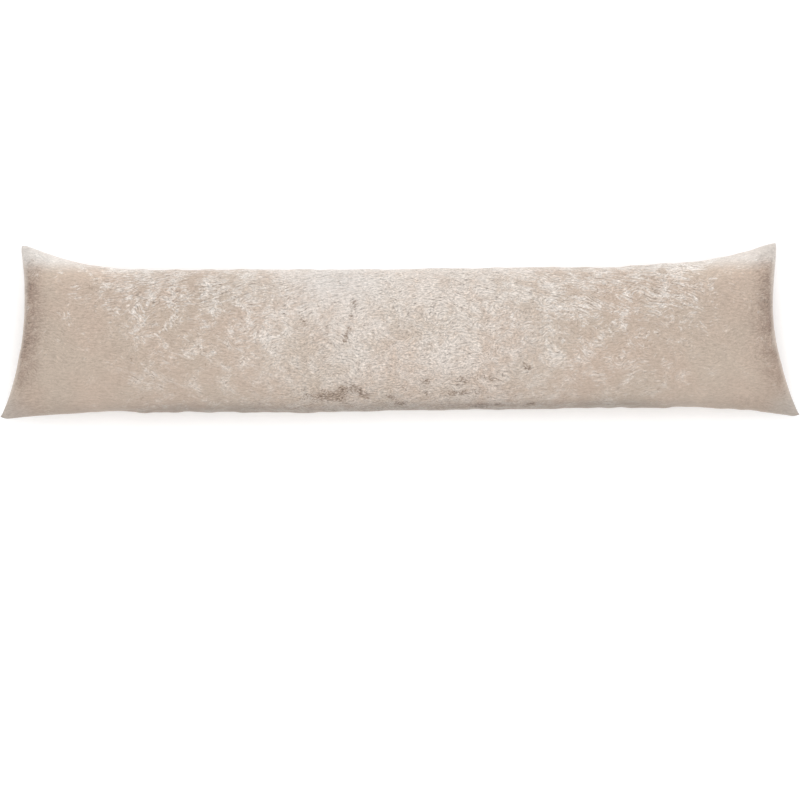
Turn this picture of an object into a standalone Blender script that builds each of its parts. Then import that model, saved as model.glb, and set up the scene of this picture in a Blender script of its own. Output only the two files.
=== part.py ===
"""A long bolster cushion: two velvet panels sewn edge to edge round a soft filling.

It lies on its back. X runs along the bolster, +Y points to its upper long edge, +Z points out of
its face, and the origin is under the middle of its box, on the surface that it rests on.
Lengths are in metres.
"""

import math
from collections import namedtuple

import bmesh
import bpy

# The box: LENGTH is between the tips of the lower ears, and WIDTH between the upper and lower tips
LENGTH = 1.370
WIDTH = 0.300
THICKNESS = 0.177
SEAM_HEIGHT = 0.079

# The long tube between the ends. Its axis lies below the middle of the box, and leans up to the
# right by this slope, so that the ears stand out unevenly
TUBE_WIDTH = 0.246
AXIS_Y = -0.0150
AXIS_LEAN = 0.0069

# The filling thins out towards the end seams over this length, and 2 would make the ends round
TAPER_LENGTH = 0.42
TAPER_POWER = 2.9

# The end seams, seen in plan: each is a shallow curve, drawn in most near the upper edge, and
# flares out to the lower ears. A place across the bolster runs from 0 at its upper edge to 1
WAIST_PLACE = 0.27
END_FLARE = 0.0751

# A section is an ellipse at a power of 1, and meets its seam at a sharper edge at a larger one
MIDDLE_SECTION_POWER = 1.04
END_SECTION_POWER = 1.20

# The back bulges as far as this below its seam, and is flat where it meets the surface below.
# It curves up from there over the blend's height
BELLY = 0.100
FLOOR_BLEND = 0.006

FACE, BACK = 1, -1
UPPER, LOWER = 1, -1
LEFT, RIGHT = -1, 1

# The four corner ears: reach is the length over which the edge falls from the tip to the tube's
# side, and droop is how far the tip hangs below the seam's height
Ear = namedtuple("Ear", "end edge reach droop")
EARS = (
    Ear(end=LEFT, edge=UPPER, reach=0.096, droop=0.006),
    Ear(end=RIGHT, edge=UPPER, reach=0.098, droop=0.010),
    Ear(end=LEFT, edge=LOWER, reach=0.070, droop=0.016),
    Ear(end=RIGHT, edge=LOWER, reach=0.078, droop=0.020),
)
EAR_POWER = 1.3
DROOP_REACH = 0.13

# Where a long seam stands in or out: x is the place along the bolster, and out is negative inwards
Wave = namedtuple("Wave", "edge x out reach")
WAVES = (
    Wave(edge=UPPER, x=-0.290, out=0.0018, reach=0.100),
    Wave(edge=UPPER, x=-0.030, out=-0.0008, reach=0.060),
    Wave(edge=UPPER, x=0.400, out=0.0012, reach=0.060),
    Wave(edge=LOWER, x=-0.497, out=-0.0036, reach=0.045),
    Wave(edge=LOWER, x=-0.372, out=-0.0012, reach=0.030),
    Wave(edge=LOWER, x=-0.150, out=0.0020, reach=0.100),
    Wave(edge=LOWER, x=0.340, out=-0.0016, reach=0.060),
    Wave(edge=LOWER, x=0.489, out=-0.0016, reach=0.030),
)

# Hollows in the face: inside each ear, and three wide dips in the filling
Hollow = namedtuple("Hollow", "x y reach_x reach_y depth")
HOLLOWS = (
    Hollow(x=-0.622, y=0.080, reach_x=0.030, reach_y=0.040, depth=0.0080),
    Hollow(x=0.624, y=0.082, reach_x=0.030, reach_y=0.042, depth=0.0085),
    Hollow(x=-0.634, y=-0.112, reach_x=0.034, reach_y=0.028, depth=0.0050),
    Hollow(x=0.636, y=-0.114, reach_x=0.034, reach_y=0.028, depth=0.0050),
    Hollow(x=-0.300, y=-0.030, reach_x=0.110, reach_y=0.060, depth=0.0032),
    Hollow(x=0.060, y=0.020, reach_x=0.090, reach_y=0.060, depth=0.0026),
    Hollow(x=0.370, y=-0.020, reach_x=0.100, reach_y=0.060, depth=0.0030),
)

# The cage: cells along the bolster, which are shorter near its ends, and across each panel
CELLS_ALONG = 36
CELLS_ACROSS = 14
END_CROWDING = 0.62
SUBDIVISIONS = 1
WELD_DISTANCE = 1e-6

VELVET_COLOUR = (0.57, 0.47, 0.39, 1.0)
VELVET_ROUGHNESS = 0.85


def half_length(place):
    """Half the bolster's length at a place across it."""
    waist = LENGTH / 2 - END_FLARE * (1 - WAIST_PLACE) ** 2
    return waist + END_FLARE * (place - WAIST_PLACE) ** 2


def axis_y(x):
    return AXIS_Y + AXIS_LEAN * x


def tip_of(ear):
    return ear.end * half_length(0.0 if ear.edge == UPPER else 1.0), ear.edge * WIDTH / 2


def seam_y(x, edge):
    """Where a long seam lies at x."""
    y = axis_y(x) + edge * TUBE_WIDTH / 2
    for ear in EARS:
        if ear.edge == edge:
            tip_x, tip_y = tip_of(ear)
            rise = tip_y - axis_y(tip_x) - edge * TUBE_WIDTH / 2
            from_tip = max(0.0, ear.end * (tip_x - x))
            y += rise * math.exp(-((from_tip / ear.reach) ** EAR_POWER))
    for wave in WAVES:
        if wave.edge == edge:
            y += edge * wave.out * math.exp(-(((x - wave.x) / wave.reach) ** 2))
    return y


def seam_height(x, y):
    """How high the plane between the two panels lies: it sinks towards the tips of the ears."""
    height = SEAM_HEIGHT
    for ear in EARS:
        tip_x, tip_y = tip_of(ear)
        away = math.hypot(x - tip_x, y - tip_y)
        height -= ear.droop * math.exp(-((away / DROOP_REACH) ** 2))
    return height


def fullness(from_end):
    """The share of its full thickness that the bolster has at a distance in from its end seam."""
    left = max(0.0, 1.0 - from_end / TAPER_LENGTH)
    return math.sqrt(1.0 - left**TAPER_POWER)


def hollow_depth(x, y):
    return sum(
        h.depth * math.exp(-(((x - h.x) / h.reach_x) ** 2) - ((y - h.y) / h.reach_y) ** 2)
        for h in HOLLOWS
    )


def rested(height):
    """The height at which the back lies, where without a surface under it it would reach height."""
    if height <= -FLOOR_BLEND:
        return 0.0
    if height >= FLOOR_BLEND:
        return height
    return (height + FLOOR_BLEND) ** 2 / (4 * FLOOR_BLEND)


def cushion_point(u, v, side):
    """The point of the face or back at u along the bolster and v across it, both from -1 to 1."""
    along = (1 - END_CROWDING) * u + END_CROWDING * math.sin(u * math.pi / 2)
    angle = v * math.pi / 2
    place = (1 - math.sin(angle)) / 2
    x = along * half_length(place)
    upper, lower = seam_y(x, UPPER), seam_y(x, LOWER)
    y = upper + place * (lower - upper)

    full = fullness((1 - abs(along)) * half_length(place))
    power = END_SECTION_POWER + (MIDDLE_SECTION_POWER - END_SECTION_POWER) * full
    bulge = full * max(0.0, math.cos(angle)) ** power
    seam = seam_height(x, y)
    if side == BACK:
        return x, y, rested(seam - BELLY * bulge)
    crown = THICKNESS - SEAM_HEIGHT
    return x, y, seam + crown * bulge - hollow_depth(x, y) * min(1.0, 2 * bulge)


def add_panel(cage, side):
    """Adds one panel to the cage as a shaped grid whose rim and corners are to stay sharp."""
    grid = bmesh.ops.create_grid(cage, x_segments=CELLS_ALONG, y_segments=CELLS_ACROSS, size=1.0)
    edge_crease = cage.edges.layers.float["crease_edge"]
    vert_crease = cage.verts.layers.float["crease_vert"]
    for vert in grid["verts"]:
        u, v = round(vert.co.x, 6), round(vert.co.y, 6)
        vert.co = cushion_point(u, v, side)
        if abs(u) == abs(v) == 1:
            vert[vert_crease] = 1.0
        for edge in vert.link_edges:
            if edge.is_boundary:
                edge[edge_crease] = 1.0
    if side == BACK:
        faces = {face for vert in grid["verts"] for face in vert.link_faces}
        bmesh.ops.reverse_faces(cage, faces=list(faces))


def make_cage():
    """Both panels, sewn along their rims."""
    cage = bmesh.new()
    cage.edges.layers.float.new("crease_edge")
    cage.verts.layers.float.new("crease_vert")
    add_panel(cage, FACE)
    add_panel(cage, BACK)
    rim = [vert for vert in cage.verts if vert.is_boundary]
    bmesh.ops.remove_doubles(cage, verts=rim, dist=WELD_DISTANCE)
    return cage


def velvet():
    material = bpy.data.materials.new("Velvet")
    material.use_nodes = True
    shader = material.node_tree.nodes["Principled BSDF"]
    shader.inputs["Base Color"].default_value = VELVET_COLOUR
    shader.inputs["Roughness"].default_value = VELVET_ROUGHNESS
    shader.inputs["Metallic"].default_value = 0.0
    return material


def make_bolster(collection):
    cage = make_cage()
    mesh = bpy.data.meshes.new("bolster")
    cage.to_mesh(mesh)
    cage.free()
    mesh.shade_smooth()
    mesh.materials.append(velvet())
    bolster = bpy.data.objects.new("bolster", mesh)
    collection.objects.link(bolster)
    subdivision = bolster.modifiers.new("Subdivision", "SUBSURF")
    subdivision.levels = SUBDIVISIONS
    subdivision.render_levels = SUBDIVISIONS
    # This cut of the four-sided faces leads into each ear's tip, so that no tip is a flat fin
    triangles = bolster.modifiers.new("Triangles", "TRIANGULATE")
    triangles.quad_method = "LONGEST_DIAGONAL"


def main():
    for obj in list(bpy.data.objects):
        bpy.data.objects.remove(obj)
    collection = bpy.data.collections.new("Bolster cushion")
    bpy.context.scene.collection.children.link(collection)
    make_bolster(collection)


main()
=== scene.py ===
"""The looks of a long bolster cushion in crushed velvet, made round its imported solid.

The cushion lies on its back. X runs along it, +Y points to its upper long edge, and +Z points out
of its face. Lengths are in metres.
"""

import math
from collections import namedtuple

import bmesh
import bpy
import numpy as np
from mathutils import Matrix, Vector, noise


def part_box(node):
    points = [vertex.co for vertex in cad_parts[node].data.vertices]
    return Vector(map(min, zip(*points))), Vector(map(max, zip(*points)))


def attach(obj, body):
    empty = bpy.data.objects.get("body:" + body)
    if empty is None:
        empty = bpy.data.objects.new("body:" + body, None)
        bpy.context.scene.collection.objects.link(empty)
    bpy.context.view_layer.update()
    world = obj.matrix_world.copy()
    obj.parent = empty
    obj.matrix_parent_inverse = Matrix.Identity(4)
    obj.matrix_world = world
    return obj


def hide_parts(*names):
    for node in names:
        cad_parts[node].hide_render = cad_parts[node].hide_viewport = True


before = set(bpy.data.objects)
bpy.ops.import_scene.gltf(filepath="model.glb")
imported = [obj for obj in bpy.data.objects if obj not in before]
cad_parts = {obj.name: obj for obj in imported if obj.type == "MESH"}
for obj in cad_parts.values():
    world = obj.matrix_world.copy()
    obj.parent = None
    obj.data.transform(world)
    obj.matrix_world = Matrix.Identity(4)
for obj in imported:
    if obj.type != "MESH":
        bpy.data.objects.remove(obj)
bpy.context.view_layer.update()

UPPER, LOWER = 1, -1
LEFT, RIGHT = -1, 1
BACK_PANEL = 1

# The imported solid's box, which the cover follows, the height of the seam between its two panels,
# how far the back bulges below it, and the height over which the back curves up from the floor
BOX_LOW, BOX_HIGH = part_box("bolster")
LENGTH = BOX_HIGH.x - BOX_LOW.x
WIDTH = BOX_HIGH.y - BOX_LOW.y
THICKNESS = BOX_HIGH.z - BOX_LOW.z
SEAM_HEIGHT = 0.079
BELLY = 0.100
FLOOR_BLEND = 0.006

# The plan's outline: the tube between the ends, and the end seams' shallow curves. The formulas
# and most values are the solid's own. The tube's width and axis, the draw-ins of the end seams, the
# waves at the right of the upper seam, and the tips were set for the cover alone, whose panels
# swell past their seam
TUBE_WIDTH = 0.2408
AXIS_Y = -0.0154
AXIS_LEAN = 0.0069
WAIST_PLACE = 0.27
END_FLARE = 0.0751
LEFT_DRAW_IN = 0.0026
RIGHT_DRAW_IN = 0.0060

# How the filling thins out to the end seams, and how sharp an edge the sections come to
TAPER_LENGTH = 0.42
TAPER_POWER = 2.9
MIDDLE_SECTION_POWER = 1.04
END_SECTION_POWER = 1.20

# The four corner ears: reach is the length over which the edge falls from the tip to the tube's
# side, and droop is how far the tip hangs below the seam's height
Ear = namedtuple("Ear", "end edge reach droop")
EARS = (
    Ear(end=LEFT, edge=UPPER, reach=0.096, droop=0.006),
    Ear(end=RIGHT, edge=UPPER, reach=0.098, droop=0.010),
    Ear(end=LEFT, edge=LOWER, reach=0.070, droop=0.016),
    Ear(end=RIGHT, edge=LOWER, reach=0.078, droop=0.020),
)
EAR_POWER = 1.3
DROOP_REACH = 0.13

# The four tips, at a grid's first or last column and row. Lean is how far an ear leans outwards
# along the bolster, and the blunt values are how far sewing and turning round off its tip
Tip = namedtuple("Tip", "end column row lean blunt_out blunt_up")
TIPS = (
    Tip(end=LEFT, column=0, row=0, lean=0.0024, blunt_out=0.0, blunt_up=0.0050),
    Tip(end=RIGHT, column=-1, row=0, lean=0.0024, blunt_out=0.0, blunt_up=0.0045),
    Tip(end=LEFT, column=0, row=-1, lean=0.0, blunt_out=-0.0028, blunt_up=-0.0026),
    Tip(end=RIGHT, column=-1, row=-1, lean=-0.0020, blunt_out=-0.0026, blunt_up=-0.0012),
)
LEAN_REACH = 0.028
BLUNT_REACH = 0.014

# Where a long seam stands in or out: x is the place along the bolster, and out is negative inwards
Wave = namedtuple("Wave", "edge x out reach")
WAVES = (
    Wave(edge=UPPER, x=-0.290, out=0.0018, reach=0.100),
    Wave(edge=UPPER, x=-0.030, out=-0.0008, reach=0.060),
    Wave(edge=UPPER, x=0.352, out=-0.0024, reach=0.032),
    Wave(edge=UPPER, x=0.450, out=0.0012, reach=0.040),
    Wave(edge=LOWER, x=-0.497, out=-0.0036, reach=0.045),
    Wave(edge=LOWER, x=-0.372, out=-0.0012, reach=0.030),
    Wave(edge=LOWER, x=-0.150, out=0.0020, reach=0.100),
    Wave(edge=LOWER, x=0.340, out=-0.0016, reach=0.060),
    Wave(edge=LOWER, x=0.489, out=-0.0016, reach=0.030),
)

# Hollows in the face: inside each ear, and three wide dips in the filling
Hollow = namedtuple("Hollow", "x y reach_x reach_y depth")
HOLLOWS = (
    Hollow(x=-0.622, y=0.080, reach_x=0.030, reach_y=0.040, depth=0.0080),
    Hollow(x=0.624, y=0.082, reach_x=0.030, reach_y=0.042, depth=0.0085),
    Hollow(x=-0.634, y=-0.112, reach_x=0.034, reach_y=0.028, depth=0.0050),
    Hollow(x=0.636, y=-0.114, reach_x=0.034, reach_y=0.028, depth=0.0050),
    Hollow(x=-0.300, y=-0.030, reach_x=0.110, reach_y=0.060, depth=0.0032),
    Hollow(x=0.060, y=0.020, reach_x=0.090, reach_y=0.060, depth=0.0026),
    Hollow(x=0.370, y=-0.020, reach_x=0.100, reach_y=0.060, depth=0.0030),
)

# The cloth simulation: the grid's cells along and across a panel, how slack the cover starts, the
# extra cloth that the seams gather, the frames and the filling's pressure, and how far a point may
# move from the solid's form
SIM_ALONG = 150
SIM_ACROSS = 36
SIM_START_FULLNESS = 0.93
SIM_EXTRA_CLOTH = 0.012
SIM_FRAMES = 28
SIM_PRESSURE = 4.0
SIM_MOST_MOVE = 0.012

# The floor under the simulation. It lies lower than the real one by this gap, and a collision
# keeps the cloth off it by a skin
FLOOR_GAP = 0.0035
FLOOR_SKIN = 0.002
FLOOR_FRICTION = 10

# The finished mesh: its cells, and the cells that stand closer together by the seam, which are
# given as shares of one cell of the simulation
FINE_ALONG = 400
FINE_ACROSS = 84
SEAM_ROWS = (0.0, 0.16, 0.36, 0.66)

# The sewn seam: the panels swell up beside it, more in some places than in others
SEAM_SWELL = 0.0022
SEAM_WIDTH = 0.0035
SEAM_FADE = 0.020
SEAM_SPACING = 0.019
SEAM_UNEVENNESS = 0.8

# Folds that fan out from each corner, gathers that run in from the end seams, and the shallow
# creases that run across the tube
FOLD_DEPTH = 0.0021
FOLD_REACH = 0.050
FOLD_POWER = 1.5
FOLDS_IN_CORNER = 2.4
GATHER_DEPTH = 0.0022
GATHER_REACH = 0.024
GATHER_SPACING = 0.034
CREASE_DEPTH = 0.0009
CREASE_SPACING = 0.045
CREASE_LENGTH = 0.200

# The filling's lumps and the pile's crushed facets, as depths and sizes. They and the creases
# rise over the margin beside a seam
LUMP_DEPTH = 0.0014
LUMP_SIZE = 0.110
CRUSH_DEPTH = 0.00035
CRUSH_SIZE = 0.016
RELIEF_MARGIN = 0.03

# What is no higher than this rests on the floor and stays there
RESTING_HEIGHT = 1e-4

# The noise: how fast its finer lumps get shallower and smaller, how many random values a line of
# it repeats after, and where each kind is read, so that no two are alike
NOISE_FALLOFF = 0.8
NOISE_STEP = 2.0
NOISE_VALUES = 512
RANDOM_SEED = 5
CRUSH_PLACE = 7.0
CREASE_PLACE = 3.0
SEAM_PLACE = 5.0
END_PLACE = 3


def half_length(place):
    """Half the bolster's length at a place across it, from 0 at its upper edge to 1."""
    waist = LENGTH / 2 - END_FLARE * (1 - WAIST_PLACE) ** 2
    return waist + END_FLARE * (place - WAIST_PLACE) ** 2


def draw_in(along, place):
    """How far the filling's pull draws in the middle of each end seam."""
    deepest = (RIGHT_DRAW_IN + LEFT_DRAW_IN) / 2 + (RIGHT_DRAW_IN - LEFT_DRAW_IN) / 2 * along
    return deepest * np.sin(math.pi * place) ** 2


def axis_y(x):
    return AXIS_Y + AXIS_LEAN * x


def tip_of(ear):
    return ear.end * half_length(0.0 if ear.edge == UPPER else 1.0), ear.edge * WIDTH / 2


def seam_y(x, edge):
    """Where a long seam lies at each x."""
    y = axis_y(x) + edge * TUBE_WIDTH / 2
    for ear in EARS:
        if ear.edge == edge:
            tip_x, tip_y = tip_of(ear)
            rise = tip_y - axis_y(tip_x) - edge * TUBE_WIDTH / 2
            from_tip = np.maximum(0.0, ear.end * (tip_x - x))
            y = y + rise * np.exp(-((from_tip / ear.reach) ** EAR_POWER))
    for wave in WAVES:
        if wave.edge == edge:
            y = y + edge * wave.out * np.exp(-(((x - wave.x) / wave.reach) ** 2))
    return y


def seam_height(x, y):
    """How high the plane between the two panels lies: it sinks towards the tips of the ears."""
    height = SEAM_HEIGHT
    for ear in EARS:
        tip_x, tip_y = tip_of(ear)
        away = np.hypot(x - tip_x, y - tip_y)
        height = height - ear.droop * np.exp(-((away / DROOP_REACH) ** 2))
    return height


def fullness(from_end):
    """The share of its full thickness that the bolster has at a distance in from its end seam."""
    left = np.clip(1.0 - from_end / TAPER_LENGTH, 0.0, 1.0)
    return np.sqrt(1.0 - left**TAPER_POWER)


def hollow_depth(x, y):
    return sum(
        h.depth * np.exp(-(((x - h.x) / h.reach_x) ** 2) - ((y - h.y) / h.reach_y) ** 2)
        for h in HOLLOWS
    )


def rested(height):
    """The height at which the back lies, where without a floor under it it would reach height."""
    blend = (height + FLOOR_BLEND) ** 2 / (4 * FLOOR_BLEND)
    return np.where(height <= -FLOOR_BLEND, 0.0, np.where(height >= FLOOR_BLEND, height, blend))


def cushion_points(u, v, swell=1.0):
    """The face's and the back's points on a grid, from places u along and v across it."""
    along, across = np.meshgrid(u, v, indexing="ij")
    full = fullness((1 - np.abs(along)) * LENGTH / 2)
    # Rows lie evenly round the tube's sides, and evenly across the flat ends
    offset = across + (np.sin(across * math.pi / 2) - across) * full
    place = (1 - offset) / 2
    half = half_length(place) - draw_in(along, place)
    x = along * half
    upper, lower = seam_y(x, UPPER), seam_y(x, LOWER)
    y = upper + place * (lower - upper)

    full = fullness((1 - np.abs(along)) * half)
    power = END_SECTION_POWER + (MIDDLE_SECTION_POWER - END_SECTION_POWER) * full
    bulge = swell * full * np.maximum(0.0, 1 - offset**2) ** (power / 2)
    seam = seam_height(x, y)
    crown = THICKNESS - SEAM_HEIGHT
    face = seam + crown * bulge - hollow_depth(x, y) * np.minimum(1.0, 2 * bulge)
    back = rested(seam - BELLY * bulge)
    return np.stack([np.stack([x, y, face], axis=-1), np.stack([x, y, back], axis=-1)])


def panel_indices(columns, rows):
    """Vertex numbers of the two panels' grids, which share the vertices of their rims."""
    face = np.arange(columns * rows).reshape(columns, rows)
    back = face.copy()
    inside = (columns - 2) * (rows - 2)
    back[1:-1, 1:-1] = columns * rows + np.arange(inside).reshape(columns - 2, rows - 2)
    return face, back


def four_sided(index):
    """The grid's faces, each as its four vertex numbers."""
    corners = (index[:-1, :-1], index[1:, :-1], index[1:, 1:], index[:-1, 1:])
    return np.stack([corner.ravel() for corner in corners], axis=1)


def vertex_list(points):
    return np.concatenate([points[0].reshape(-1, 3), points[1, 1:-1, 1:-1].reshape(-1, 3)])


def panels_mesh(name, points):
    """One closed mesh from the two panels' grids of points."""
    face, back = panel_indices(*points.shape[1:3])
    faces = np.concatenate([four_sided(face), four_sided(back)[:, ::-1]])
    mesh = bpy.data.meshes.new(name)
    mesh.from_pydata(vertex_list(points).tolist(), [], faces.tolist())
    mesh.shade_smooth()
    return mesh


def add_object(name, data):
    obj = bpy.data.objects.new(name, data)
    bpy.context.scene.collection.objects.link(obj)
    return obj


def make_floor_collider():
    collider = add_object("sim_floor", bpy.data.meshes.new("sim_floor"))
    reach = LENGTH
    corners = [(-reach, -reach), (reach, -reach), (reach, reach), (-reach, reach)]
    collider.data.from_pydata([(x, y, -FLOOR_GAP) for x, y in corners], [], [(0, 1, 2, 3)])
    collider.modifiers.new("Collision", "COLLISION")
    collider.collision.thickness_outer = FLOOR_SKIN
    collider.collision.cloth_friction = FLOOR_FRICTION
    return collider


def set_cloth(obj, rest_key):
    modifier = obj.modifiers.new("Cloth", "CLOTH")
    modifier.point_cache.frame_start = 1
    modifier.point_cache.frame_end = SIM_FRAMES
    cloth = modifier.settings
    cloth.quality = 6
    cloth.mass = 0.02
    cloth.tension_stiffness = cloth.compression_stiffness = 40
    cloth.tension_damping = cloth.compression_damping = 10
    cloth.shear_stiffness = cloth.shear_damping = 10
    cloth.bending_stiffness = 0.5
    cloth.bending_damping = 1
    cloth.air_damping = 5
    cloth.use_pressure = True
    cloth.uniform_pressure_force = SIM_PRESSURE
    cloth.rest_shape_key = rest_key
    cloth.vertex_group_mass = "seam"
    cloth.pin_stiffness = 1
    cloth.effector_weights.gravity = 0.3
    modifier.collision_settings.use_collision = True
    modifier.collision_settings.distance_min = FLOOR_SKIN
    modifier.collision_settings.use_self_collision = False


def inflated(points, start, rest):
    """The cover's points once a cloth simulation has filled it, with its seam held in place."""
    obj = add_object("sim_cover", panels_mesh("sim_cover", start))
    obj.shape_key_add(name="Basis")
    rest_key = obj.shape_key_add(name="rest")
    rest_key.data.foreach_set("co", vertex_list(rest).ravel())
    rest_key.value = 0
    face, back = panel_indices(*start.shape[1:3])
    rim = np.concatenate([face[0], face[-1], face[:, 0], face[:, -1]])
    obj.vertex_groups.new(name="seam").add(np.unique(rim).tolist(), 1.0, "REPLACE")
    collider = make_floor_collider()
    set_cloth(obj, rest_key)
    scene = bpy.context.scene
    scene.frame_start, scene.frame_end = 1, SIM_FRAMES
    for step in range(1, SIM_FRAMES + 1):
        scene.frame_set(step)
    settled = obj.evaluated_get(bpy.context.evaluated_depsgraph_get()).to_mesh()
    found = np.empty(len(settled.vertices) * 3, np.float32)
    settled.vertices.foreach_get("co", found)
    found = found.reshape(-1, 3).astype(float)
    for done in (obj, collider):
        bpy.data.objects.remove(done)
    scene.frame_set(1)

    moved = np.stack([found[face], found[back]]) - points
    distance = np.linalg.norm(moved, axis=-1, keepdims=True)
    return points + moved * np.minimum(1.0, SIM_MOST_MOVE / np.maximum(distance, 1e-9))


def settled_cover():
    """The cover's form, which the simulation fills out, on an even grid."""
    u = np.linspace(-1, 1, SIM_ALONG + 1)
    v = np.linspace(-1, 1, SIM_ACROSS + 1)
    points = cushion_points(u, v)
    rest = points * (1 + SIM_EXTRA_CLOTH)
    return inflated(points, cushion_points(u, v, swell=SIM_START_FULLNESS), rest)


def fine_places(coarse_cells, fine_cells):
    """Places in a coarse grid for a finer one, with rows closer together by the seam."""
    near = np.array(SEAM_ROWS)
    even = np.linspace(1.0, coarse_cells - 1.0, fine_cells + 1 - 2 * len(near))
    return np.concatenate([near, even, coarse_cells - near[::-1]])


def read_at(points, places, axis):
    """A grid's points at fractional places along one axis, on a Catmull-Rom curve through them."""
    points = np.moveaxis(points, axis, 0)
    before = 2 * points[:1] - points[1:2]
    after = 2 * points[-1:] - points[-2:-1]
    points = np.concatenate([before, points, after])
    whole = np.clip(np.floor(places).astype(int), 0, len(points) - 4)
    t = (places - whole).reshape(-1, *([1] * (points.ndim - 1)))
    a, b, c, d = (points[whole + step] for step in range(4))
    curve = b + t / 2 * (c - a + t * (2 * a - 5 * b + 4 * c - d + t * (3 * (b - c) + d - a)))
    return np.moveaxis(curve, 0, axis)


def run_along(points, axis):
    """Each point's distance along its own grid line, from the line's middle."""
    steps = np.linalg.norm(np.diff(points, axis=axis), axis=-1)
    total = np.insert(np.cumsum(steps, axis=axis), 0, 0.0, axis=axis)
    ends = total.take([-1], axis=axis)
    return total - ends / 2, ends / 2


def outward(points):
    """Unit normals of both panels. Along the seam they are the mean of the two panels' normals."""
    du, dv = np.gradient(points, axis=1), np.gradient(points, axis=2)
    normal = np.cross(du, dv)
    normal[1] *= -1
    normal /= np.linalg.norm(normal, axis=-1, keepdims=True)
    rim = np.zeros(points.shape[1:3], bool)
    rim[[0, -1]] = rim[:, [0, -1]] = True
    mean = normal[0][rim] + normal[1][rim]
    mean /= np.maximum(np.linalg.norm(mean, axis=-1, keepdims=True), 1e-9)
    normal[:, rim] = mean
    return normal


def smooth_noise(points, size, octaves=3):
    """Fractal noise at each point, about -1 to 1. Its largest lumps have this size."""
    flat = points.reshape(-1, 3) / np.array(size)
    values = [noise.fractal(Vector(p), NOISE_FALLOFF, NOISE_STEP, octaves) for p in flat.tolist()]
    return np.array(values).reshape(points.shape[:-1])


def noise_along(run, spacing):
    """Smooth random values from -1 to 1 along a line, with one swing in each spacing."""
    source = np.random.default_rng(RANDOM_SEED).uniform(-1, 1, NOISE_VALUES)
    place = np.mod(run / spacing, NOISE_VALUES)
    whole = np.floor(place).astype(int)
    t = place - whole
    t = t * t * (3 - 2 * t)
    return source[whole % NOISE_VALUES] * (1 - t) + source[(whole + 1) % NOISE_VALUES] * t


def rise_and_fade(distance, reach):
    """Rises from 0 at the seam to 1 at this reach, and fades out beyond it."""
    return distance / reach * np.exp(1 - distance / reach)


def corner_folds(s, t, from_end, from_side):
    """Folds like the ribs of a fan in each of the eight corners, each set turned its own way."""
    corner = (s > 0) + 2 * (t > 0)
    corner[BACK_PANEL] += 4
    turn = np.random.default_rng(RANDOM_SEED).uniform(0, 2 * math.pi, 8)[corner]
    out = np.hypot(from_end, from_side)
    angle = np.arctan2(from_side, from_end)
    bend = noise_along(out + corner, FOLD_REACH)
    # Four times the angle makes a whole turn of each corner's right angle
    ribs = np.cos(angle * 4 * FOLDS_IN_CORNER + turn + bend)
    return ribs * np.sin(2 * angle) * rise_and_fade(out, FOLD_REACH) ** FOLD_POWER


def add_relief(points):
    """Adds what the filling and the sewing do to the cover: lumps, crushed pile, folds, gathers.

    It returns the points, and their distances along and across the cloth from its middle.
    """
    s, half_s = run_along(points, 1)
    t, half_t = run_along(points, 2)
    from_side = half_t - np.abs(t)
    from_end = half_s - np.abs(s)
    from_seam = np.minimum(from_side, from_end)

    relief = LUMP_DEPTH * smooth_noise(points, LUMP_SIZE)
    relief += CRUSH_DEPTH * smooth_noise(points + CRUSH_PLACE, CRUSH_SIZE)
    across = (CREASE_SPACING, CREASE_LENGTH, CREASE_LENGTH)
    relief += CREASE_DEPTH * smooth_noise(points + CREASE_PLACE, across, octaves=2)
    relief *= np.clip(from_seam / RELIEF_MARGIN, 0, 1)
    relief += FOLD_DEPTH * corner_folds(s, t, from_end, from_side)
    end_run = t + END_PLACE * np.sign(s) + SEAM_PLACE
    gathers = noise_along(end_run, GATHER_SPACING) * (1 - (t / half_t) ** 4)
    relief += GATHER_DEPTH * gathers * rise_and_fade(from_end, GATHER_REACH)

    seam_run = np.where(from_side < from_end, s, t) + SEAM_PLACE
    uneven = 1 + SEAM_UNEVENNESS * noise_along(seam_run, SEAM_SPACING)
    swell = uneven * np.exp(-from_seam / SEAM_FADE)
    relief += SEAM_SWELL * swell * (1 - np.exp(-from_seam / SEAM_WIDTH))

    shaped = points + outward(points) * relief[..., None]
    resting = points[..., 2] <= RESTING_HEIGHT
    shaped[..., 2] = np.where(resting, 0.0, np.maximum(shaped[..., 2], 0.0))
    return shaped, s, t


def shape_tips(points):
    """Leans each ear outwards or inwards, and rounds off its tip."""
    for tip in TIPS:
        away = np.linalg.norm(points - points[0, tip.column, tip.row], axis=-1)
        lean = tip.lean * np.exp(-((away / LEAN_REACH) ** 2))
        blunt = np.clip(1 - away / BLUNT_REACH, 0, 1) ** 2
        points[..., 0] += tip.end * (lean + tip.blunt_out * blunt)
        points[..., 1] += tip.blunt_up * blunt


def make_cover():
    coarse = settled_cover()
    fine = read_at(coarse, fine_places(SIM_ALONG, FINE_ALONG), 1)
    fine = read_at(fine, fine_places(SIM_ACROSS, FINE_ACROSS), 2)
    points, s, t = add_relief(fine)
    shape_tips(points)
    mesh = panels_mesh("bolster_cover", points)
    # Places on the cut cloth, with the back panel's beside the face panel's
    beside = np.zeros_like(t)
    beside[BACK_PANEL] = 1.0
    add_map(mesh, "cloth", s, t + beside)
    # Distances in from the end seams, up from the lower long seam, and in from the nearest seam
    from_end = s.max(axis=1, keepdims=True) - np.abs(s)
    from_foot = t - t.min(axis=2, keepdims=True)
    from_seam = np.minimum(np.minimum(from_end, from_foot), t.max(axis=2, keepdims=True) - t)
    add_map(mesh, "seams", from_end, from_foot)
    add_map(mesh, "nearest_seam", from_seam, np.zeros_like(t))
    return add_object("bolster_cover", mesh)


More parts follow.
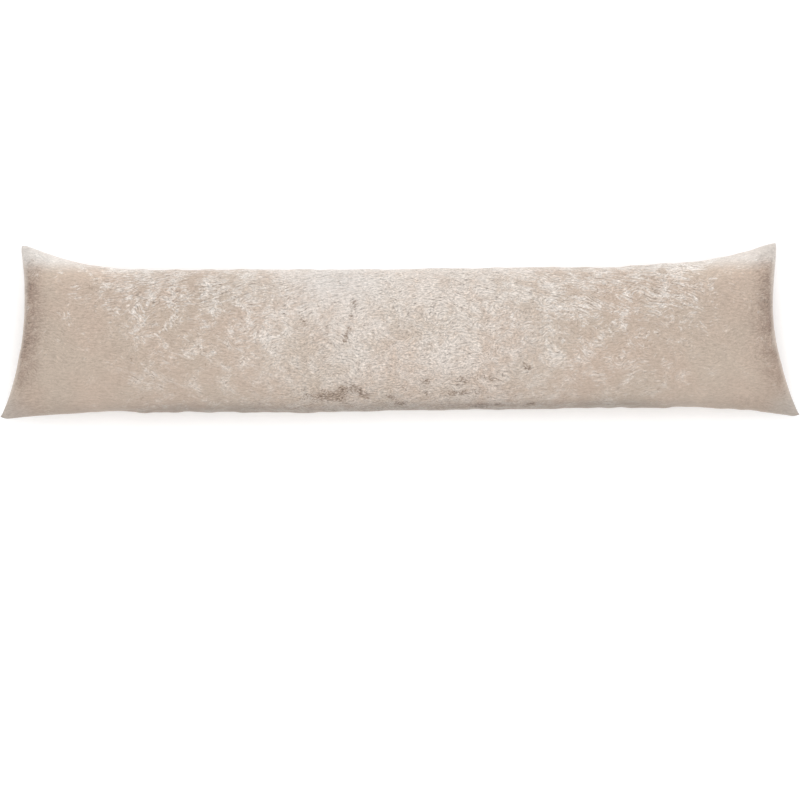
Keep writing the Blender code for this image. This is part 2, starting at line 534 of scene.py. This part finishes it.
def add_map(mesh, name, across, up):
    """A map whose two values are given for both panels' points."""
    layer = mesh.uv_layers.new(name=name)
    corners = []
    for panel in (0, BACK_PANEL):
        place = np.stack([across[panel], up[panel]], axis=-1)
        loops = [place[:-1, :-1], place[1:, :-1], place[1:, 1:], place[:-1, 1:]]
        order = loops[::-1] if panel == BACK_PANEL else loops
        corners.append(np.stack([c.reshape(-1, 2) for c in order], axis=1))
    layer.data.foreach_set("uv", np.concatenate(corners).astype(np.float32).ravel())


class Nodes:
    """Adds nodes to a material. An input takes a number, a tuple, or another node's output."""

    def __init__(self, material):
        self.tree = material.node_tree

    def add(self, kind, output, inputs, **settings):
        node = self.tree.nodes.new("ShaderNode" + kind)
        for name, value in settings.items():
            setattr(node, name, value)
        for name, value in inputs.items():
            if isinstance(value, bpy.types.NodeSocket):
                self.tree.links.new(value, node.inputs[name])
            else:
                node.inputs[name].default_value = value
        return node.outputs[output]

    def map(self, name):
        """The place on one of the mesh's maps."""
        return self.add("UVMap", 0, {}, uv_map=name)

    def split(self, vector):
        """The outputs X, Y and Z."""
        return self.add("SeparateXYZ", 0, {0: vector}).node.outputs

    def math(self, operation, a, b=0.0, c=0.0):
        return self.add("Math", 0, {0: a, 1: b, 2: c}, operation=operation)

    def vector(self, operation, a, b=(0.0, 0.0, 0.0), c=(0.0, 0.0, 0.0)):
        return self.add("VectorMath", 0, {0: a, 1: b, 2: c}, operation=operation)

    def plus(self, total, value, strength=1.0):
        """The total, with the value times its strength added to it."""
        return self.math("MULTIPLY_ADD", value, strength, total)

    def times(self, value, *others):
        for other in others:
            value = self.math("MULTIPLY", value, other)
        return value

    def largest(self, value, *others):
        for other in others:
            value = self.math("MAXIMUM", value, other)
        return value

    def rest(self, share):
        """What a share leaves of the whole."""
        return self.math("SUBTRACT", 1.0, share)

    def swing(self, value):
        """How far noise is above or below its mean."""
        return self.math("SUBTRACT", value, 0.5)

    def line(self, share, at_none, at_whole):
        """A straight line from at_none, at a share of 0, to at_whole, at a share of 1."""
        return self.math("MULTIPLY_ADD", share, at_whole - at_none, at_none)

    def ramp(self, value, low, high, at_low=0.0, at_high=1.0):
        """A smooth step from at_low to at_high, as value goes from low to high."""
        inputs = {"Value": value, 1: low, 2: high, 3: at_low, 4: at_high}
        return self.add("MapRange", 0, inputs, interpolation_type="SMOOTHSTEP")

    def noise(self, vector, texture):
        """Noise from 0 to 1, with the texture's swings in each metre along and across."""
        inputs = {
            "Vector": self.vector("MULTIPLY", vector, (texture.along, texture.across, 1.0)),
            "Scale": 1.0,
            "Detail": texture.detail,
            "Roughness": texture.roughness,
        }
        return self.add("TexNoise", "Fac", inputs)

    def shifted(self, vector, bend):
        """Places moved along and across by noise."""
        inputs = {"Vector": vector, "Scale": bend.swings, "Detail": 2.0}
        colour = self.add("TexNoise", "Color", inputs)
        shift = self.vector("SUBTRACT", colour, (0.5, 0.5, 0.5))
        return self.vector("MULTIPLY_ADD", shift, (bend.reach, bend.reach, 0.0), vector)

    def mix_values(self, share, a, b):
        return self.add("Mix", 0, {0: share, 2: a, 3: b}, data_type="FLOAT")

    def mix_colours(self, share, a, b):
        return self.add("Mix", 2, {"Factor": share, 6: a, 7: b}, data_type="RGBA")


def new_material(name):
    material = bpy.data.materials.new(name)
    material.use_nodes = True
    return material, material.node_tree.nodes["Principled BSDF"], Nodes(material)


# The velvet's colours: the smooth ground and its rosy parts, the crushed pile's pattern with
# painted sheen, painted light at the upper ears, a greyer part, painted shade in the end bands, and
# painted shadow in the crushed pile
VELVET_GROUND = (0.470, 0.388, 0.320, 1.0)
VELVET_ROSY = (0.482, 0.384, 0.314, 1.0)
VELVET_CRUSH_SHEEN = (0.672, 0.632, 0.594, 1.0)
VELVET_PAINTED_LIGHT = (0.748, 0.750, 0.742, 1.0)
VELVET_GREY = (0.665, 0.668, 0.672, 1.0)
VELVET_END_SHADE = (0.268, 0.192, 0.152, 1.0)
VELVET_SHADOW = (0.225, 0.160, 0.116, 1.0)

# The shader's constants, and what the fine relief of the pile is made from
VELVET_SPECULAR = 0.25
VELVET_SHEEN = 0.30
VELVET_SHEEN_ROUGHNESS = 0.45
VELVET_SHEEN_TINT = (1.0, 0.95, 0.90, 1.0)
BUMP_DISTANCE = 0.0008
BUMP_STRENGTH = 0.5
BUMP_SHARES = {"grain": 0.35, "bright": 0.6}

# Bends of the cloth's map, which make the strokes wave and curl: swings of noise in each metre, and
# how far it moves a place
Bend = namedtuple("Bend", "swings reach")
WAVING = Bend(swings=17.0, reach=0.030)
CURLING = Bend(swings=62.0, reach=0.007)

# Noise over the cloth, with its swings in each metre along and across the bolster
Texture = namedtuple("Texture", "along across detail roughness", defaults=(2.0, 0.5))
WAY = Texture(along=30.0, across=30.0, detail=3.0)
SIDE = Texture(along=9.0, across=9.0)
CLOUD = Texture(along=11.0, across=11.0, detail=4.0, roughness=0.60)
MOTTLE = Texture(along=33.0, across=33.0, detail=7.0, roughness=0.76)
GLINT = Texture(along=75.0, across=75.0, detail=3.0, roughness=0.70)
NAP = Texture(along=90.0, across=360.0, detail=4.0, roughness=0.75)
GRAIN = Texture(along=225.0, across=345.0, detail=3.0, roughness=0.80)
HOLLOW = Texture(along=26.0, across=26.0, detail=9.0, roughness=0.80)
CAST = Texture(along=9.0, across=9.0)

# Long thin noise, turned to the strokes' directions. The level strokes are longer
STROKE = Texture(along=75.0, across=300.0, detail=3.0, roughness=0.62)
LEVEL_STROKE = Texture(along=42.0, across=320.0, detail=3.0, roughness=0.62)
RISING_DEGREES, FALLING_DEGREES = 38, -42
LEVEL_RISING_DEGREES, LEVEL_FALLING_DEGREES = 22, -18

# Parts of the cloth, and what happens there. Each is a product of smooth steps, and a step goes
# from at_low to at_high as its field, which is one of the velvet's values, goes from low to high.
# The end parts reach further in at the lower edge
Step = namedtuple("Step", "field low high at_low at_high", defaults=(0.0, 1.0))
FACE_PART = (Step("z", 0.074, 0.094),)
MIDDLE_PART = (Step("from_middle", 0.10, 0.36, 1.0, 0.0),)
END_PARTS = (Step("leaning_out", 0.44, 0.57),)
UPPER_PART = (Step("y", -0.120, 0.060),)
SHOULDERS = (Step("y", 0.020, 0.060), Step("from_middle", 0.56, 0.48))
END_PARTS_LEAN = -0.43

# The back panel's places on the cloth's map lie beyond half a metre across, and the face's don't
BACK_PART = (Step("across", 0.49, 0.51),)
NOT_BACK = (Step("across", 0.49, 0.51, 1.0, 0.0),)

# Which way the strokes run: they rise or fall steeply, or lie nearly level, as most do near the
# upper edge and some near the foot. Level ones lean one way where x times y is positive, and the
# other way where it is negative
LEVEL_ABOVE = (Step("y", 0.020, 0.075, 0.0, 0.16),)
LEVEL_BELOW = (Step("y", -0.030, -0.085, 0.0, 0.08),)
FALLING_SHARE = (Step("way", 0.46, 0.49),)
LEVEL_SHARE = (Step("way", 0.53, 0.56),)
LEVEL_FALLING_SHARE = (Step("side", 0.46, 0.54),)
SIDE_PULL = -20.0

# The strokes gather in patches: many in the middle and the upper half, and few at the ends. A
# stroke is bright where the patch's noise and its own are strong together: the crushed pile's
# pattern, painted as sheen, and brighter towards the upper edge as painted light. In the middle,
# strokes stand out less, and a pool of painted light brightens all of the pile
PATCH = {
    "cloud_swing": 0.30,
    "middle": 0.070,
    "ends": -0.12,
    "upper": 0.035,
    "shoulders": 0.025,
    "gathered": 1.0,
}
COVERED = (Step("patch", 0.45, 0.66),)
STROKE_IN_PATCH = 1.05
BRIGHT_STROKES = (
    Step("wanted", 0.560, 0.670),
    Step("glint", 0.35, 0.65, 0.32, 0.645),
    Step("y", -0.100, 0.020, 0.50, 1.0),
)
BRIGHT_IN_MIDDLE = 0.28
COVER_BRIGHT, COVER_BRIGHT_IN_MIDDLE = 0.16, 0.26
# A pool of painted light over the middle, fading towards the foot and stronger where strokes gather
MIDDLE_LIGHT_POOL = (Step("y", -0.125, -0.035, 0.10, 1.0),)
MIDDLE_LIGHT_STRENGTH = 0.225
MIDDLE_LIGHT_BY_GATHERED = 7.0

# Painted shade in a band inside each end seam, where the cloth turns away from the light. From its
# full strength it fades out to its reach, which is shorter near the upper edge
END_SHADE_REACH = (Step("y", 0.020, 0.080, 0.085, 0.060),)
END_SHADE_FULL = 0.022
END_SHADE_STEPS = (
    Step("from_end", 0.003, 0.026),
    Step("mottle", 0.40, 0.60, 1.14, 0.60),
    Step("y", -0.150, -0.030, 0.10, 1.0),
    Step("y", 0.135, 0.100),
    Step("y", 0.085, 0.020, 0.94, 1.0),
)
END_SHADE_COLOUR = 0.78

# Fine pile: specks and thin lines, which are stronger where the pile is crushed and quieter near
# the foot, and painted shade in the gaps between the strokes
SPECKS = {"crushed": 1.10, "middle": 0.34, "outer_shoulders": 0.30, "end_shade": 0.20}
SPECKS_ANYWHERE = 0.74
LINES_SMOOTH, LINES_CRUSHED = 1.08, 1.60
QUIET_FOOT = (Step("y", -0.040, -0.080, 0.0, 0.25), Step("from_middle", 0.16, 0.24))
CLOUD_TONE = 0.12
MOTTLE_TONE = 0.24
GAP_SHADE = (Step("stroke", 0.44, 0.34),)
GAPS_ANYWHERE = 0.045
GAP_SHARES = {"cover": 0.24, "shoulders": 0.10}

# Where the cloth is lighter: painted light at the upper edge, painted sheen along the end seams, a
# lighter lower half, and painted light at the upper edge beside the ears
LIGHTER = (
    (Step("y", 0.082, 0.104, 0.0, 0.05),),
    (Step("from_end", 0.016, 0.002, 0.0, 0.06),),
    (Step("y", 0.020, -0.070, 0.0, 0.035),),
    (
        Step("from_middle", 0.44, 0.50),
        Step("from_middle", 0.64, 0.58),
        Step("y", 0.070, 0.096, 0.0, 0.10),
    ),
)

# Where it is darker: painted shade at the upper part of the left end seam, and painted shade in the
# sewn groove on both panels
LEFT_END_SHADE = (
    Step("x", -0.50, -0.60),
    Step("y", 0.010, 0.060, 0.0, 0.06),
    Step("from_end", 0.030, 0.010),
)
FACE_SEAM_SHADE = (Step("from_seam", 0.0035, 0.0005), Step("y", -0.020, 0.060, 0.24, 0.0))
BACK_SEAM_SHADE = (Step("from_seam", 0.0040, 0.0010, 0.0, 0.30), *BACK_PART)

# The shade at the foot, as a sum of bands that are full near the seam. Strengths are for the middle
# and for the ends, and the back panel gets a smaller share
FootShade = namedtuple("FootShade", "reach middle ends")
FOOT_SHADES = (
    FootShade(reach=0.100, middle=0.13, ends=0.05),
    FootShade(reach=0.055, middle=0.17, ends=0.17),
    FootShade(reach=0.062, middle=0.19, ends=0.0),
)
FOOT_FULL = 0.012
FOOT_MOST = 0.40
FOOT_ON_BACK = 0.45

# Where painted light gives the pile the ears' pale colour: painted light at the upper edge, painted
# sheen on its sewn rim and along the end seams, and a paler tone at the lower tips
PAINTED_PALE_LIGHT = (
    (Step("y", 0.096, 0.125, 0.0, 0.50), Step("x", 0.30, 0.60, 1.0, 0.85)),
    (Step("from_seam", 0.008, 0.001), Step("y", 0.060, 0.095, 0.0, 0.50), *NOT_BACK),
    (Step("from_tip", 0.100, 0.020, 0.0, 0.20),),
    (Step("from_end", 0.022, 0.004), Step("y", 0.000, 0.060, 0.08, 0.22)),
)

# Shadows in the crushed pile, which are weaker on light specks
SHADOWS = (Step("hollow", 0.60, 0.70), Step("grain", 0.60, 0.42, 0.25, 1.0))
SHADOW_COLOUR = 0.88
SHADOW_TONE = 0.38

# Where the ground is rosy, and the pile's roughness, which is lower where it is bright
ROSY = (Step("cast", 0.35, 0.65),)
ROUGHNESS = (Step("bright", 0.0, 1.0, 0.85, 0.62),)

# Places on the face. Lean is how far a mark shifts along the bolster with each metre across it
Mark = namedtuple("Mark", "x y reach_x reach_y strength lean", defaults=(0.0,))

# Where the strokes gather, or are few for a strength below zero. The cloth's two halves are alike,
# and x is the distance from the middle
GATHERED = (
    Mark(x=0.420, y=0.0960, reach_x=0.085, reach_y=0.0150, strength=0.075),
    Mark(x=0.463, y=0.0700, reach_x=0.018, reach_y=0.0120, strength=0.050),
    Mark(x=0.326, y=0.0540, reach_x=0.020, reach_y=0.0120, strength=0.090),
    Mark(x=0.257, y=0.0560, reach_x=0.018, reach_y=0.0260, strength=0.040),
    Mark(x=0.222, y=-0.0220, reach_x=0.018, reach_y=0.0200, strength=0.060),
    Mark(x=0.154, y=-0.0200, reach_x=0.028, reach_y=0.0450, strength=-0.060),
    Mark(x=0.014, y=-0.0250, reach_x=0.026, reach_y=0.0350, strength=-0.070),
    Mark(x=0.075, y=-0.0500, reach_x=0.024, reach_y=0.0240, strength=0.060),
    Mark(x=0.455, y=-0.0780, reach_x=0.070, reach_y=0.0220, strength=0.075),
)

# Where the crushed pile is calmer than elsewhere in the middle, and where it is greyer or duller
CALM_MARK = Mark(x=-0.120, y=0.0560, reach_x=0.085, reach_y=0.0600, strength=0.32)
GREY_MARK = Mark(x=-0.105, y=0.0850, reach_x=0.075, reach_y=0.0350, strength=0.28)
DULL_MARK = Mark(x=-0.375, y=0.0680, reach_x=0.120, reach_y=0.0320, strength=0.060)

# Where painted shadow darkens the crushed pile, in its creases and flecks
PAINTED_SHADOW_MARKS = (
    Mark(x=-0.126, y=-0.1145, reach_x=0.0260, reach_y=0.0085, strength=0.230),
    Mark(x=-0.094, y=-0.1035, reach_x=0.0160, reach_y=0.0100, strength=0.170),
    Mark(x=-0.067, y=-0.1035, reach_x=0.0140, reach_y=0.0150, strength=0.230, lean=-0.9),
    Mark(x=-0.017, y=-0.1137, reach_x=0.0120, reach_y=0.0045, strength=0.230),
    Mark(x=0.005, y=-0.1239, reach_x=0.0160, reach_y=0.0040, strength=0.200),
    Mark(x=0.010, y=-0.1017, reach_x=0.0040, reach_y=0.0100, strength=0.130, lean=-1.0),
    Mark(x=0.043, y=-0.0862, reach_x=0.0130, reach_y=0.0055, strength=0.130),
    Mark(x=0.113, y=-0.0862, reach_x=0.0110, reach_y=0.0080, strength=0.075, lean=1.2),
    Mark(x=0.149, y=-0.0830, reach_x=0.0110, reach_y=0.0070, strength=0.075, lean=-1.0),
    Mark(x=0.112, y=-0.1080, reach_x=0.0260, reach_y=0.0040, strength=0.120),
    Mark(x=0.128, y=-0.1015, reach_x=0.0200, reach_y=0.0030, strength=0.100),
    Mark(x=0.090, y=-0.1180, reach_x=0.0200, reach_y=0.0030, strength=0.110),
    Mark(x=0.110, y=-0.0950, reach_x=0.1400, reach_y=0.0340, strength=0.060),
    Mark(x=0.132, y=-0.1290, reach_x=0.0160, reach_y=0.0040, strength=0.150),
    Mark(x=0.168, y=-0.1274, reach_x=0.0140, reach_y=0.0035, strength=0.150),
    Mark(x=0.223, y=-0.1257, reach_x=0.0100, reach_y=0.0035, strength=0.140),
    Mark(x=0.214, y=-0.0657, reach_x=0.0070, reach_y=0.0060, strength=0.130),
    Mark(x=-0.165, y=-0.1050, reach_x=0.0400, reach_y=0.0250, strength=0.050),
    Mark(x=-0.076, y=0.0380, reach_x=0.0065, reach_y=0.0300, strength=0.125, lean=0.3),
    Mark(x=-0.094, y=-0.0180, reach_x=0.0070, reach_y=0.0320, strength=0.115, lean=0.3),
    Mark(x=-0.103, y=0.0800, reach_x=0.0140, reach_y=0.0140, strength=0.090),
    Mark(x=-0.125, y=-0.0140, reach_x=0.0070, reach_y=0.0220, strength=0.120, lean=0.3),
    Mark(x=-0.161, y=0.0180, reach_x=0.0070, reach_y=0.0360, strength=0.090, lean=-0.1),
)


class Velvet:
    """The crushed velvet: its attributes are values over the cloth, as outputs of nodes."""

    def __init__(self, nodes):
        self.n = nodes
        self.find_places()
        self.lay_strokes()
        self.gather_strokes()
        self.paint_end_shade()
        self.paint_pile_shadows()
        self.set_tone()
        self.mix_colour()

    def share(self, steps):
        """The product of smooth steps."""
        n = self.n
        return n.times(
            *(n.ramp(getattr(self, s.field), s.low, s.high, s.at_low, s.at_high) for s in steps)
        )

    def total(self, strengths, start=0.0):
        """The start with the named values added, each times its strength."""
        for field, strength in strengths.items():
            start = self.n.plus(start, getattr(self, field), strength)
        return start

    def near(self, mark, x=None):
        """How near a place on the face is to a mark's middle, from 0 to 1."""
        n = self.n
        x = self.x if x is None else x
        off_y = n.math("MULTIPLY_ADD", self.y, 1 / mark.reach_y, -mark.y / mark.reach_y)
        off_x = n.math("MULTIPLY_ADD", x, 1 / mark.reach_x, -mark.x / mark.reach_x)
        off_x = n.plus(off_x, off_y, -mark.lean * mark.reach_y / mark.reach_x)
        square = n.plus(n.times(off_y, off_y), off_x, off_x)
        return n.times(self.face, n.math("POWER", math.e, n.times(square, -1.0)))

    def find_places(self):
        n = self.n
        self.cloth = n.map("cloth")
        self.across = n.split(self.cloth)["Y"]
        self.from_end, self.from_foot = n.split(n.map("seams"))[:2]
        self.from_seam = n.split(n.map("nearest_seam"))["X"]
        self.from_tip = n.plus(self.from_end, self.from_foot)
        self.x, self.y, self.z = n.split(n.add("TexCoord", "Object", {}))[:3]
        self.from_middle = n.math("ABSOLUTE", self.x)
        self.leaning_out = n.plus(self.from_middle, self.y, END_PARTS_LEAN)
        self.face = self.share(FACE_PART)
        self.back = self.share(BACK_PART)
        self.middle = self.share(MIDDLE_PART)
        self.ends = self.share(END_PARTS)
        self.upper = self.share(UPPER_PART)
        self.shoulders = self.share(SHOULDERS)
        self.outer_shoulders = n.times(self.shoulders, n.rest(self.middle))

    def strokes(self, places, degrees, texture):
        """Long thin noise. The turn also moves the places, so that no two directions are alike."""
        turn = {
            "Vector": places,
            "Rotation": (0.0, 0.0, math.radians(degrees)),
            "Location": (0.0, 0.0, degrees),
        }
        return self.n.noise(self.n.add("Mapping", 0, turn), texture)

    def lay_strokes(self):
        """The crushed pile's strokes, which bend and rise, fall or lie nearly level."""
        n = self.n
        self.waved = waved = n.shifted(self.cloth, WAVING)
        self.bent = bent = n.shifted(waved, CURLING)
        way = n.plus(n.noise(bent, WAY), self.share(LEVEL_ABOVE))
        self.way = n.plus(way, self.share(LEVEL_BELOW))
        self.side = n.plus(n.noise(bent, SIDE), n.times(self.x, self.y), SIDE_PULL)
        slanting = n.mix_values(
            self.share(FALLING_SHARE),
            self.strokes(bent, RISING_DEGREES, STROKE),
            self.strokes(bent, FALLING_DEGREES, STROKE),
        )
        level = n.mix_values(
            self.share(LEVEL_FALLING_SHARE),
            self.strokes(waved, LEVEL_RISING_DEGREES, LEVEL_STROKE),
            self.strokes(waved, LEVEL_FALLING_DEGREES, LEVEL_STROKE),
        )
        self.stroke = n.mix_values(self.share(LEVEL_SHARE), slanting, level)

    def gather_strokes(self):
        """How densely strokes cover each patch, and how bright the pile is with its painted sheen
        and light.
        """
        n = self.n
        self.cloud_swing = n.swing(n.noise(self.cloth, CLOUD))
        self.mottle = n.noise(self.bent, MOTTLE)
        self.gathered = 0.0
        for mark in GATHERED:
            self.gathered = n.plus(
                self.gathered, self.near(mark, self.from_middle), mark.strength
            )
        self.patch = self.total(PATCH, start=self.mottle)
        self.cover = self.share(COVERED)

        self.wanted = n.plus(self.patch, n.swing(self.stroke), STROKE_IN_PATCH)
        self.glint = n.noise(self.bent, GLINT)
        # The crushed pile's pattern painted as sheen, brighter towards the upper edge as painted
        # light
        in_strokes = n.times(
            self.share(BRIGHT_STROKES), n.line(self.middle, 1.0, BRIGHT_IN_MIDDLE)
        )
        in_cover = n.line(self.middle, COVER_BRIGHT, COVER_BRIGHT_IN_MIDDLE)
        # Painted light pooled over the middle of the face
        middle_light = n.times(
            self.middle, self.share(MIDDLE_LIGHT_POOL), n.plus(1.0, self.gathered, MIDDLE_LIGHT_BY_GATHERED)
        )
        self.bright = n.plus(n.plus(in_strokes, self.cover, in_cover), middle_light, MIDDLE_LIGHT_STRENGTH)

    def paint_end_shade(self):
        """Painted shade in the bands inside the end seams."""
        from_reach = self.n.ramp(self.from_end, self.share(END_SHADE_REACH), END_SHADE_FULL)
        self.end_shade = self.n.times(from_reach, self.share(END_SHADE_STEPS))

    def paint_pile_shadows(self):
        """Painted shadow in the hollows of the crushed pile, which is deepest in the dark marks."""
        n = self.n
        self.grain = n.noise(self.bent, GRAIN)
        self.hollow = n.noise(self.bent, HOLLOW)
        self.crease_shadow = 0.0
        for mark in PAINTED_SHADOW_MARKS:
            at_mark = self.near(mark)
            self.hollow = n.plus(self.hollow, at_mark, mark.strength)
            self.crease_shadow = n.plus(self.crease_shadow, at_mark, mark.strength)

    def set_tone(self):
        """How light the cloth is, as a factor of its colour, with painted light and shade in it."""
        n = self.n
        nap_swing = n.swing(n.noise(self.waved, NAP))
        self.crushed = n.largest(self.cover, self.middle, self.end_shade)
        quiet = n.plus(self.share(QUIET_FOOT), self.near(CALM_MARK), CALM_MARK.strength)
        loud = n.rest(quiet)
        specks = n.times(self.total(SPECKS, start=SPECKS_ANYWHERE), loud)
        lines = n.times(n.line(self.crushed, LINES_SMOOTH, LINES_CRUSHED), loud)
        tone = n.plus(1.0, n.swing(self.grain), specks)
        tone = n.plus(tone, nap_swing, lines)
        tone = n.plus(tone, self.cloud_swing, CLOUD_TONE)
        tone = n.plus(tone, n.swing(self.mottle), n.line(self.middle, MOTTLE_TONE, 0.0))
        # Painted shade in the gaps between the strokes
        gap_shade = n.times(self.share(GAP_SHADE), self.total(GAP_SHARES, start=GAPS_ANYWHERE))
        tone = n.math("SUBTRACT", tone, gap_shade)
        # Painted light at the upper edge and beside the ears, painted sheen along the end seams,
        # and a lighter lower half
        for steps in LIGHTER:
            tone = n.plus(tone, self.share(steps))

        foot = 0.0
        for shade in FOOT_SHADES:
            near_foot = n.ramp(self.from_foot, shade.reach, FOOT_FULL)
            foot = n.plus(foot, near_foot, n.line(self.ends, shade.middle, shade.ends))
        foot = n.times(n.math("MINIMUM", foot, FOOT_MOST), n.line(self.back, 1.0, FOOT_ON_BACK))
        # Painted shade at the left end seam, in the sewn groove, at the foot and in the creases,
        # and a darker patch
        darker = (
            self.share(LEFT_END_SHADE),
            n.times(self.near(DULL_MARK), DULL_MARK.strength),
            n.largest(self.share(FACE_SEAM_SHADE), self.share(BACK_SEAM_SHADE)),
            foot,
            n.times(self.crease_shadow, SHADOW_TONE),
        )
        self.tone = n.times(tone, *(n.rest(share) for share in darker))

    def mix_colour(self):
        n = self.n
        self.cast = n.noise(self.cloth, CAST)
        colour = n.mix_colours(self.share(ROSY), VELVET_GROUND, VELVET_ROSY)
        # Painted light and sheen at the upper edge, its sewn rim and the end seams, and paler lower
        # tips
        pale_light = n.largest(*(self.share(steps) for steps in PAINTED_PALE_LIGHT))
        grey = n.times(self.near(GREY_MARK), GREY_MARK.strength)
        # Painted shade in the bands inside the end seams
        end_shade_share = n.times(self.end_shade, END_SHADE_COLOUR)
        # Painted shadow in the hollows and creases of the crushed pile
        pile_shadow = n.times(self.share(SHADOWS), SHADOW_COLOUR)
        for share, other in (
            (self.bright, VELVET_CRUSH_SHEEN),
            (pale_light, VELVET_PAINTED_LIGHT),
            (grey, VELVET_GREY),
            (end_shade_share, VELVET_END_SHADE),
            (pile_shadow, VELVET_SHADOW),
        ):
            colour = n.mix_colours(share, colour, other)
        inputs = {0: colour, "Scale": self.tone}
        self.colour = n.add("VectorMath", 0, inputs, operation="SCALE")


def velvet_material():
    material, shader, n = new_material("crushed_velvet")
    velvet = Velvet(n)
    relief = {
        "Height": velvet.total(BUMP_SHARES),
        "Distance": BUMP_DISTANCE,
        "Strength": BUMP_STRENGTH,
    }
    links = material.node_tree.links
    links.new(velvet.colour, shader.inputs["Base Color"])
    links.new(n.add("Bump", 0, relief), shader.inputs["Normal"])
    links.new(velvet.share(ROUGHNESS), shader.inputs["Roughness"])
    shader.inputs["Specular IOR Level"].default_value = VELVET_SPECULAR
    shader.inputs["Sheen Weight"].default_value = VELVET_SHEEN
    shader.inputs["Sheen Roughness"].default_value = VELVET_SHEEN_ROUGHNESS
    shader.inputs["Sheen Tint"].default_value = VELVET_SHEEN_TINT
    return material


# The studio's paper: a round floor that curves up into a low wall
FLOOR_RADIUS = 7.5
SWEEP_RADIUS = 2.0
WALL_HEIGHT = 3.5
FLOOR_SEGMENTS = 96
SWEEP_STEPS = 12
PAPER_COLOUR = (0.93, 0.93, 0.93, 1.0)
PAPER_GLOW = 0.17
WHITE = (1.0, 1.0, 1.0, 1.0)


def make_floor():
    profile = [(FLOOR_RADIUS, 0.0)]
    for step in range(1, SWEEP_STEPS + 1):
        angle = math.pi / 2 * step / SWEEP_STEPS
        out = FLOOR_RADIUS + SWEEP_RADIUS * math.sin(angle)
        profile.append((out, SWEEP_RADIUS * (1 - math.cos(angle))))
    profile.append((FLOOR_RADIUS + SWEEP_RADIUS, WALL_HEIGHT))

    shape = bmesh.new()
    centre = shape.verts.new((0, 0, 0))
    turns = [2 * math.pi * k / FLOOR_SEGMENTS for k in range(FLOOR_SEGMENTS)]
    rings = [
        [shape.verts.new((out * math.cos(a), out * math.sin(a), height)) for a in turns]
        for out, height in profile
    ]
    for k in range(FLOOR_SEGMENTS):
        after = (k + 1) % FLOOR_SEGMENTS
        shape.faces.new((centre, rings[0][k], rings[0][after]))
        for low, high in zip(rings, rings[1:]):
            shape.faces.new((low[after], low[k], high[k], high[after]))
    mesh = bpy.data.meshes.new("floor")
    shape.to_mesh(mesh)
    shape.free()
    mesh.shade_smooth()
    floor = add_object("floor", mesh)

    material, shader, _ = new_material("floor_paper")
    shader.inputs["Base Color"].default_value = PAPER_COLOUR
    shader.inputs["Emission Color"].default_value = WHITE
    shader.inputs["Emission Strength"].default_value = PAPER_GLOW
    shader.inputs["Roughness"].default_value = 1.0
    shader.inputs["Specular IOR Level"].default_value = 0.0
    mesh.materials.append(material)


# The lamps: a low one behind the upper edge, a soft one overhead, and a weak one at the foot
Softbox = namedtuple("Softbox", "name at aim size watts")
SOFTBOXES = (
    Softbox(name="key", at=(-0.3, 3.0, 1.35), aim=(0.0, 0.0, 0.10), size=2.0, watts=18),
    Softbox(name="overhead", at=(0.0, 0.2, 3.6), aim=(0.0, 0.0, 0.0), size=1.6, watts=40),
    Softbox(name="fill", at=(0.3, -2.6, 1.5), aim=(0.0, 0.0, 0.10), size=1.6, watts=4),
)
WORLD_STRENGTH = 0.76


def make_lights():
    for box in SOFTBOXES:
        data = bpy.data.lights.new(box.name, "AREA")
        data.shape = "SQUARE"
        data.size = box.size
        data.energy = box.watts
        light = add_object(box.name, data)
        light.location = box.at
        towards = Vector(box.aim) - light.location
        light.rotation_euler = towards.to_track_quat("-Z", "Y").to_euler()
        light.visible_camera = False
    world = bpy.data.worlds.new("studio")
    world.use_nodes = True
    background = world.node_tree.nodes["Background"]
    background.inputs["Color"].default_value = WHITE
    background.inputs["Strength"].default_value = WORLD_STRENGTH
    bpy.context.scene.world = world


# The camera looks square at the face from above. The picture's middle is below the cushion's, and
# FRAME_WIDTH is what the picture shows from side to side at the seam's height
LENS_MM = 135.0
SENSOR_MM = 36.0
FRAME_WIDTH = 1.3715
PICTURE_CENTRE_Y = -0.1188
ROLL_DEGREES = 0.18


def make_camera():
    data = bpy.data.cameras.new("camera")
    data.lens = LENS_MM
    data.sensor_width = SENSOR_MM
    camera = add_object("camera", data)
    distance = FRAME_WIDTH * LENS_MM / SENSOR_MM
    camera.location = (0.0, PICTURE_CENTRE_Y, SEAM_HEIGHT + distance)
    camera.rotation_euler = (0.0, 0.0, -math.radians(ROLL_DEGREES))
    bpy.context.scene.camera = camera


make_camera()
cover = make_cover()
cover.data.materials.append(velvet_material())
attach(cover, "root")
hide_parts("bolster")
make_floor()
make_lights()
bpy.context.scene.view_settings.view_transform = "Standard"
